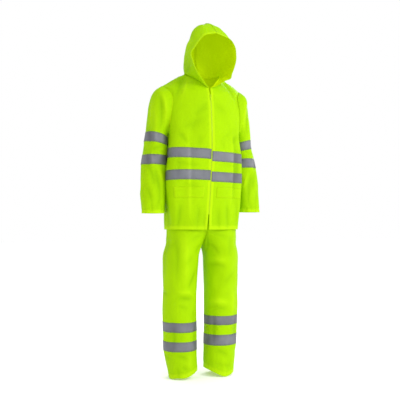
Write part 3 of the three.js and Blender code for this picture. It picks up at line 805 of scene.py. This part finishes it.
hoodFolds = {
    "front": [
        (-100, -12, -62, -4, 5, 7, -1.8), (-98, -30, -50, -30, 6, 8, 1.8),
        (96, -10, 66, -6, -4, 8, 1.5),
    ],
    "right": [
        (-122, 60, 24, 16, -12, 12, 2.2), (-116, 100, -10, 46, -8, 11, 1.5),
        (-84, 196, 52, 128, 14, 17, 1.9), (-130, 150, -40, 176, -8, 14, -1.2),
        (30, 110, 56, 20, 6, 12, 1.8),
    ],
    "left": [
        (-112, 56, 30, 14, 12, 12, 2.2), (-100, 112, 10, 52, 8, 12, 1.6),
        (-90, 190, 40, 120, -14, 17, 1.9), (20, 120, 60, 26, -6, 12, 1.6),
    ],
    "back": [
        (-52, 96, 40, 66, -8, 13, 2.0), (-60, 50, 56, 40, 7, 11, 1.8),
        (10, 190, 66, 96, 8, 15, 1.4), (-20, 200, -70, 110, -8, 15, 1.4),
    ],
}
trouserFolds = {
    "front": [
        (-58, -984, -98, -1068, 6, 9, 2.3), (-154, -1092, -74, -1102, 4, 9, -1.9),
        (-156, -1126, -70, -1134, 5, 9, 2.5), (-150, -1160, -96, -1170, -4, 9, 1.2),
        (-78, -900, -132, -962, 6, 14, 1.3), (-124, -800, -120, -1060, 6, 17, -1.5),
        (-166, -800, -160, -1040, 4, 12, 1.6), (-62, -1180, -66, -1246, 3, 11, 1.3),
        (-130, -1296, -134, -1348, 2, 9, 1.0), (-170, -1236, -168, -1404, 2, 15, 2.4),
        (-48, -1236, -50, -1404, -2, 13, 2.2), (50, -1210, 48, -1376, 2, 13, 2.2),
        (172, -1210, 170, -1376, -2, 15, 2.4), (-154, -1412, -98, -1440, 5, 10, 2.0),
        (-128, -1470, -66, -1492, -6, 9, 1.8), (-150, -1470, -140, -1530, 3, 8, 1.5),
        (-84, -1410, -90, -1530, 5, 12, -1.4), (18, -930, 102, -938, 6, 11, -1.8),
        (22, -958, 98, -972, 5, 10, 1.7), (28, -1148, 124, -1158, 6, 11, -1.9),
        (38, -1178, 116, -1192, 4, 10, 1.8), (150, -1000, 96, -1060, -5, 12, 1.4),
        (118, -800, 112, -920, 4, 15, 1.4), (146, -1080, 150, -1220, 3, 12, -1.3),
        (52, -1402, 128, -1432, 6, 11, 1.9), (66, -1466, 148, -1484, -6, 10, 1.8),
        (96, -1440, 100, -1540, 4, 12, -1.3), (-11, -780, -12, -846, 1, 6, 1.5),
        (6, -812, 17, -892, 2, 7, 2.1), (-12, -848, -62, -902, -6, 9, 2.0),
        (14, -846, 64, -908, 6, 9, 1.8), (-20, -806, -96, -836, -6, 12, 1.5),
        (22, -800, 104, -826, 6, 12, 1.4),
    ],
    "back": [
        (-152, -1050, -72, -1072, 6, 10, 2.4), (-150, -1096, -80, -1106, 4, 8, -1.6),
        (-154, -1124, -72, -1134, -5, 9, 1.9), (70, -1062, 150, -1044, 6, 10, 2.3),
        (74, -1096, 146, -1090, 4, 8, -1.5), (68, -1130, 152, -1116, -5, 9, 1.9),
        (-16, -858, -102, -908, 8, 12, 2.5), (18, -856, 104, -902, -8, 12, 2.4),
        (-30, -820, -130, -846, 6, 13, 1.6), (26, -824, 126, -842, -6, 13, 1.5),
        (-108, -912, -110, -1036, 5, 15, -1.6), (106, -908, 112, -1030, -5, 15, 1.5),
        (-76, -1170, -84, -1240, 3, 11, 1.4), (128, -1170, 122, -1236, 3, 11, 1.3),
        (-148, -1410, -76, -1436, 5, 11, 2.0), (74, -1396, 146, -1424, 5, 11, 1.9),
        (-92, -1450, -96, -1530, 3, 10, 1.5), (118, -1446, 124, -1536, 3, 10, 1.6),
    ],
    "right": [
        (-20, -800, 10, -1000, 6, 16, 1.7), (60, -1078, -30, -1104, 6, 10, 1.9),
        (40, -1410, -20, -1430, 5, 10, 1.6),
    ],
    "left": [
        (0, -820, 20, -1010, -6, 16, 1.6), (64, -1068, -26, -1092, 6, 10, 1.8),
        (44, -1396, -24, -1420, 5, 10, 1.6),
    ],
}
# Soft unevenness: wavelength round and up the garment, height, and where in the pattern it starts
softWaves = [((80, 200), 3.6, 3.1), ((36, 62), 1.3, 11.7)]
hoodWaves = [((60, 80), 2.6, 5.3), ((28, 34), 0.9, 2.9)]
groupSettings = {
    "body": {"folds": bodyFolds, "waves": softWaves},
    "sleeveRight": {"folds": sleeveFolds, "waves": softWaves},
    "sleeveLeft": {"folds": mirrored(sleeveFolds, 9), "waves": softWaves},
    "hood": {"folds": hoodFolds, "waves": hoodWaves},
    "trousers": {"folds": trouserFolds, "waves": softWaves},
}
roundLevels = 3

panels, flatSizes, plain, dressed = {}, {}, {}, {}
for name, use in panelSettings.items():
    panels[name] = showMesh(name, outerSkin(name, use))
    flatSizes[name] = layFlat(panels[name])
    roundSkin(panels[name], roundLevels)
print("panels rounded")


# Where a sleeve, the hood or the trousers' top meets another part, the cloth lies still
stillSettings = {
    "reach": 16,
    "sides": [
        ("sleeveRight", (-190, 0, -100)), ("sleeveLeft", (190, 0, -100)),
        ("hoodRight", (-94, -9, 22)), ("hoodLeft", (94, -9, 22)),
        ("trouserFrontRight", (-122, -64, -508)), ("trouserFrontLeft", (122, -64, -508)),
        ("trouserBackRight", (-122, 75, -508)), ("trouserBackLeft", (122, 75, -508)),
    ],
}
# Small corrections of the form: where, how far, and over what radius
nudges = {
    "hood": [((118, -116, -14), (7, 2, -15), 24), ((0, -44, 288), (0, 0, -5), 26)],
    "sleeveRight": [((-190, -20, -330 - 75 * step), (4, 0, 0), 60) for step in range(5)],
    "body": [((-180, 0, -340 - 90 * step), (-2.5, 0, 0), 70) for step in range(4)],
    "trousers": [((-168, -4, -1520), (-4, 0, -12), 38)],
}

stillSpots = [
    spot for name, near in stillSettings["sides"]
    for spot in nearestSide(sidesOf(panels[name].data), near)["points"]
]
stillTree = spotTree(stillSpots)


def liveliness(points):
    away = np.array([stillTree.find(point)[2] for point in points.tolist()]) / mm
    return 1 - np.exp(-((away / stillSettings["reach"]) ** 2))


# The fold depth is stored as two masks: painted shade in troughs and a painted highlight on ridges
def storeFolds(mesh, relief):
    storeShare(mesh, "trough", np.clip(-relief / (foldShare["fullTone"] * mm), 0, 1))
    storeShare(mesh, "ridge", np.clip(relief / (foldShare["fullTone"] * mm), 0, 1))


seamReach = 1.5 * mm


def sharedNormals(members):
    # Where two panels meet, both take the same normal, so that their seam doesn't open
    normals = {name: normalsOf(panels[name].data) for name in members}
    edges = []
    for name in members:
        mesh = panels[name].data
        points = coordinates(mesh)
        skin = bmesh.new()
        skin.from_mesh(mesh)
        edges += [(name, vert.index, points[vert.index]) for vert in skin.verts if vert.is_boundary]
        skin.free()
    tree = spotTree([spot for _, _, spot in edges])
    own = {name: part.copy() for name, part in normals.items()}
    for name, index, spot in edges:
        beside = [edges[found[1]] for found in tree.find_range(spot, seamReach)]
        whole = sum(own[other][place] for other, place, _ in beside)
        normals[name][index] = whole / np.linalg.norm(whole)
    return normals


# Under the jacket the trousers lie calmer and further in, from a height on and over a soft edge
hiddenSettings = {"from": -760, "edge": 12, "calm": 0.7, "sink": 1.5}


def calmed(relief, points, use):
    hidden = 1 / (1 + np.exp((use["from"] * mm - points[:, 2]) / (use["edge"] * mm)))
    return relief * (1 - use["calm"] * hidden) - use["sink"] * mm * hidden


def dressPanel(piece, use, folds, waves, tree, normals, group):
    mesh = piece.data
    points = coordinates(mesh)
    folded = foldRelief(points, folds, tree)
    storeFolds(mesh, folded * liveliness(points))
    relief = folded + rippleRelief(points, waves)
    double = np.zeros(len(points))
    sides = sidesOf(mesh)
    for spot, fold in use["turned"]:
        lifted, strip = sideRelief(points, nearestSide(sides, spot), fold)
        relief += lifted
        double = np.maximum(double, strip)
    for spot, _ in use["sewn"]:
        relief += sideRelief(points, nearestSide(sides, spot), 0)[0]
    if group == "trousers":
        relief = calmed(relief, points, hiddenSettings)
    moved = points + normals * (relief * liveliness(points))[:, None]
    for spot, shift, radius in nudges.get(group, ()):
        gap = np.linalg.norm(points - np.array(spot) * mm, axis=1) / (radius * mm)
        moved += np.exp(-gap[:, None] ** 2) * np.array(shift) * mm
    setCoordinates(mesh, moved)
    storeShare(mesh, "double", double)


for group, use in groupSettings.items():
    members = [name for name in panelSettings if panelSettings[name]["group"] == group]
    tree = plain[group] = treeOf([panels[name] for name in members])
    normals = sharedNormals(members)
    for name in members:
        settings = panelSettings[name]
        dressPanel(panels[name], settings, use["folds"], use["waves"], tree, normals[name], group)
    dressed[group] = treeOf([panels[name] for name in members])
    print("folds made on", group)

# Tapes and pocket flaps lie on the dressed cloth
overlaySettings = bothHands({
    "tapeBodyUpper": {"group": "body", "axis": (0, 0)},
    "tapeBodyLower": {"group": "body", "axis": (0, 0)},
    "tapeSleeveUpperRight": {"group": "sleeveRight", "axis": (-235, 20), "cutAt": (-186, 20, -300)},
    "tapeSleeveLowerRight": {"group": "sleeveRight", "axis": (-245, 20), "cutAt": (-186, 20, -400)},
    "tapeLegUpperRight": {"group": "trousers", "axis": (-100, 10)},
    "tapeLegLowerRight": {"group": "trousers", "axis": (-100, 10)},
    "pocketFlapRight": {"group": "body", "axis": (0, 0)},
})
overlayClear, overlayEdge, tapeThick, flapThick = 0.3, 5, 0.6, 1.0
tapeWidth = 0.05  # metres
flapSewing = {"topAbove": -600, "inset": 2.5, "freeInset": 5.0}


def layOn(piece, tree, lift):
    mesh = piece.data
    points, normals = coordinates(mesh), normalsOf(mesh)
    seats = np.array([tree.find_nearest(Vector(point))[0] for point in points])
    setCoordinates(mesh, seats + normals * lift * mm)


def sewingInsets(side, longest, isTape, use=flapSewing):
    # A tape is sewn along its long sides, a flap close to its top side and further in round the rest
    if isTape:
        return (use["inset"],) if side["length"] > longest / 2 else ()
    return (use["inset"] if side["points"][:, 2].mean() > use["topAbove"] * mm else use["freeInset"],)


threads = {group: bmesh.new() for group in groupSettings}
for name, use in overlaySettings.items():
    group = use["group"]
    piece = panels[name] = showMesh(name, outerSkin(name, use))
    flatSizes[name] = layFlat(piece)
    roundSkin(piece, roundLevels)
    isTape = name.startswith("tape")
    thick, slot = (tapeThick, "reflective_tape") if isTape else (flapThick, "lime_cloth")
    storeFolds(piece.data, foldRelief(coordinates(piece.data), groupSettings[group]["folds"], plain[group]))
    layOn(piece, dressed[group], overlayClear + thick)
    sides = sidesOf(piece.data)
    longest = max(side["length"] for side in sides)
    edgeShare = np.zeros(len(piece.data.vertices))
    points = coordinates(piece.data)
    tree = treeOf([piece])
    for side in sides:
        edgeShare = np.maximum(edgeShare, sideRelief(points, side, overlayEdge)[1])
        sewSide(threads[group], side, tree, sewingInsets(side, longest, isTape))
    # On a tape this edge mask carries painted shade along its edges; on a flap, the lighter tone where the
    # cloth lies in two layers
    storeShare(piece.data, "double", edgeShare)
    addWall(piece, thick, *((reflectiveTape, reflectiveTape) if isTape else (limeCloth, limeInside)))
    carry(piece, slot, nodeOf(name))
    area = clothArea(piece)
    if isTape:
        flatSizes[name] = [tapeWidth, area / tapeWidth]
    print(name, [round(side, 3) for side in flatSizes[name]], round(area, 4))
print("tapes and flaps laid")

# Seam allowances: narrow strips behind every joined side, so that no light shows through a seam
allowanceSettings = {"half": 6, "behind": 1.95, "thick": 0.4, "pitch": 7, "past": 0.6}


def ribbon(target, rows):
    # A strip through rows of places; every row has the same number of them
    across, along = len(rows), len(rows[0])
    made = bmesh.ops.create_grid(target, x_segments=along - 1, y_segments=across - 1, size=1)["verts"]
    for vert in made:
        column = round((vert.co.x + 1) / 2 * (along - 1))
        row = round((vert.co.y + 1) / 2 * (across - 1))
        vert.co = rows[row][column]


def backSeam(target, side, tree, use):
    # A strip behind one side, taken a little past its ends
    spots = alongSide(side, use["pitch"] * mm)
    past = use["past"]
    first, last = (1 + past) * spots[0] - past * spots[1], (1 + past) * spots[-1] - past * spots[-2]
    spots = np.r_[[first], spots, [last]]
    inward = np.array([
        side["inward"][np.linalg.norm(side["points"] - spot, axis=1).argmin()] for spot in spots
    ])
    rows = []
    for reach in (-use["half"], 0, use["half"]):
        seats = [tree.find_nearest(Vector(spot))[:2] for spot in spots + inward * reach * mm]
        rows.append([seat - normal * use["behind"] * mm for seat, normal in seats])
    ribbon(target, rows)
    return stepsOf(spots).sum()


allowances = bmesh.new()
suitTree = treeOf([panels[name] for name in panelSettings])
seamLength = 0
for name, use in panelSettings.items():
    sides = sidesOf(panels[name].data)
    for spot, insets in use["sewn"]:
        if insets:
            seamLength += backSeam(allowances, nearestSide(sides, spot), suitTree, allowanceSettings)
bmesh.ops.recalc_face_normals(allowances, faces=allowances.faces)
seamStrips = showMesh("seamAllowances", allowances)
addWall(seamStrips, allowanceSettings["thick"], limeInside, limeInside)
carry(seamStrips, "lime_cloth")
print("seam allowances", round(seamLength, 2), "m")

# Sewing along the turned and joined sides
for name, use in panelSettings.items():
    piece = panels[name]
    sides = sidesOf(piece.data)
    tree = treeOf([piece])
    for spot, fold in use["turned"]:
        sewSide(threads[use["group"]], nearestSide(sides, spot), tree, (fold,))
    for spot, insets in use["sewn"]:
        sewSide(threads[use["group"]], nearestSide(sides, spot), tree, insets)
    area = clothArea(piece)
    addWall(piece, wallThick, limeCloth, limeInside)
    carry(piece, "lime_cloth", nodeOf(name))
    width, length = flatSizes[name]
    print(name, [round(side, 3) for side in flatSizes[name]], round(area, 4))
for group, thread in threads.items():
    piece = showMesh(group + "Stitches", thread)
    piece.data.materials.append(sewingThread)
    for face in piece.data.polygons:
        face.use_smooth = True
    carry(piece, "lime_cloth")
    print(group, "stitches", len(piece.data.polygons))

# Waistband: gathered on its elastic
waistSettings = {
    "axis": (0, 6), "cutAt": (0, 102, -508), "width": 0.038, "middle": -489,
    "gathers": 64, "unevenness": ((7, 1.6), (17, 0.9)), "depth": 0.9, "channels": 3, "channelShare": 0.3,
}


def makeWaistband(name, use):
    piece = showMesh(name, outerSkin(name, use))
    layFlat(piece)
    roundSkin(piece, roundLevels)
    points, normals = coordinates(piece.data), normalsOf(piece.data)
    turn = np.arctan2(points[:, 1] - use["axis"][1] * mm, points[:, 0])
    uneven = sum(size * np.sin(turn * times) for times, size in use["unevenness"])
    gathers = np.sin(turn * use["gathers"] + uneven)
    height = (points[:, 2] - use["middle"] * mm) / use["width"]
    channel = 1 - use["channelShare"] + use["channelShare"] * np.cos(height * use["channels"] * math.pi)
    relief = (gathers - 1) * use["depth"] * mm * channel
    setCoordinates(piece.data, points + normals * relief[:, None])
    storeShare(piece.data, "double", np.ones(len(points)))
    addWall(piece, wallThick, limeCloth, limeInside)
    carry(piece, "lime_cloth", nodeOf(name))


makeWaistband("trouserWaistband", waistSettings)
print("waistband made")

# Zip: on each front a woven tape behind the cloth and moulded teeth that meet in the gap
zipSettings = {
    "foot": -706, "top": -113, "pitch": 3.0, "toothHeight": 1.7, "toothDepth": 2.2, "toothSink": 0.75,
    "toothEdge": 0.32, "gap": 2.5, "reachPast": 0.7,
    "tapeRows": (-2.3, 0.4, 4.0, 13), "tapeThick": 0.5, "tapeSink": 1.95,
}


def makeTooth(use, span):
    # A block with a rounded head. The heads of both rows reach past each other.
    tooth = bmesh.new()
    bmesh.ops.create_cube(tooth, size=1)
    size = (span * mm, use["toothDepth"] * mm, use["toothHeight"] * mm)
    bmesh.ops.scale(tooth, verts=tooth.verts, vec=size)
    heads = [edge for edge in tooth.edges if all(vert.co.x > 0 for vert in edge.verts)]
    bmesh.ops.bevel(
        tooth, geom=heads, offset=use["toothEdge"] * mm, segments=2, affect="EDGES", profile=0.5,
        material=-1,
    )
    mesh = bpy.data.meshes.new("zipTooth")
    tooth.to_mesh(mesh)
    tooth.free()
    return mesh


def makeZip(use):
    for name, node, sideOf, phase in (
        ("zipRight", "zip_half_right", -1, 0.0), ("zipLeft", "zip_half_left", 1, 0.5),
    ):
        front = panels["jacketFrontRight" if sideOf < 0 else "jacketFrontLeft"]
        side = nearestSide(sidesOf(front.data), (sideOf * 3, -145, -400))
        inRange = (side["points"][:, 2] > use["foot"] * mm) & (side["points"][:, 2] < use["top"] * mm)
        points, inward = side["points"][inRange], side["inward"][inRange]
        if points[0, 2] > points[-1, 2]:
            points, inward = points[::-1], inward[::-1]
        out = np.cross(np.gradient(points, axis=0), inward) * sideOf
        out /= np.linalg.norm(out, axis=1)[:, None]
        if out[:, 1].mean() > 0:
            out = -out
        woven = bmesh.new()
        ribbon(woven, [
            points + (inward * reach - out * use["tapeSink"]) * mm for reach in use["tapeRows"]
        ])
        tape = showMesh(name + "Tape", woven)
        addWall(tape, use["tapeThick"], zipWoven, zipWoven)
        tape.modifiers["wall"].offset = 0
        carry(tape, "zip_plastic", node)
        teeth = bmesh.new()
        lengths = np.r_[0, np.cumsum(stepsOf(points))]
        wanted = np.arange(phase, int(lengths[-1] / (use["pitch"] * mm))) * use["pitch"] * mm
        span = use["gap"] + use["reachPast"]
        tooth = makeTooth(use, span)
        shape = coordinates(tooth)
        frames = []
        for place, across, off in zip(*(pointsAt(part, lengths, wanted) for part in (points, inward, out))):
            across = -across / np.linalg.norm(across)
            off = off - across * off.dot(across)
            off /= np.linalg.norm(off)
            centre = place + across * span / 2 * mm - off * use["toothSink"] * mm
            frames.append((np.array([across, off, np.cross(across, off)]).T, centre))
        addCopies(teeth, tooth, shape, frames)
        bmesh.ops.recalc_face_normals(teeth, faces=teeth.faces)
        chain = showMesh(name + "Teeth", teeth)
        chain.data.materials.append(zipPlastic)
        carry(chain, "zip_plastic", node)


makeZip(zipSettings)


# Slider and pull tab: the CAD shapes with their edges rounded
def roundedCopy(name, offset, body):
    copy = bmesh.new()
    copy.from_mesh(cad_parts[nodeOf(name)].data)
    bmesh.ops.remove_doubles(copy, verts=copy.verts, dist=0.01 * mm)
    bmesh.ops.dissolve_limit(copy, angle_limit=math.radians(2), verts=copy.verts, edges=copy.edges)
    sharp = [edge for edge in copy.edges if edge.calc_face_angle(0) > math.radians(40)]
    bmesh.ops.bevel(
        copy, geom=sharp, offset=offset * mm, segments=2, affect="EDGES", profile=0.5, material=-1
    )
    piece = showMesh(name, copy)
    piece.data.materials.append(zipPlastic)
    carry(piece, "zip_plastic", nodeOf(name), body)


roundedCopy("zipSlider", 0.25, "suit")
roundedCopy("zipPullTab", 0.2, "pull_tab")
print("zip made")


# Studio: a pale floor, an even white sky, soft lamps in front on both sides and one behind
studioSettings = {
    "floorDrop": 3.0,
    "floorHalf": 25,
    "sky": 1.0,
    "lookAt": (0, 0, -0.7),
    "lights": {
        "keyLight": {"place": (2.2, -3.0, 1.1), "size": 1.2, "power": 84},
        "backLight": {"place": (2.6, 2.8, 1.2), "size": 1.2, "power": 80},
        "fillLight": {"place": (-1.2, -3.4, 0.4), "size": 2.4, "power": 14},
    },
}


def makeStudio(use):
    floor = bmesh.new()
    bmesh.ops.create_grid(floor, x_segments=2, y_segments=2, size=use["floorHalf"])
    bmesh.ops.translate(floor, verts=floor.verts, vec=(0, 0, cadBox[0][2] - use["floorDrop"] * mm))
    piece = showMesh("studioFloor", floor)
    piece.data.materials.append(palePaper)
    world = bpy.data.worlds.new("studio")
    world.use_nodes = True
    sky = world.node_tree.nodes["Background"]
    sky.inputs["Color"].default_value = (1, 1, 1, 1)
    sky.inputs["Strength"].default_value = use["sky"]
    bpy.context.scene.world = world
    for name, lamp in use["lights"].items():
        data = bpy.data.lights.new(name, "AREA")
        data.size = lamp["size"]
        data.energy = lamp["power"]
        light = bpy.data.objects.new(name, data)
        light.location = lamp["place"]
        light.rotation_mode = "QUATERNION"
        light.rotation_quaternion = (Vector(use["lookAt"]) - light.location).to_track_quat("-Z", "Y")
        bpy.context.scene.collection.objects.link(light)
    bpy.context.scene.view_settings.view_transform = "Standard"


makeStudio(studioSettings)
print("studio made")
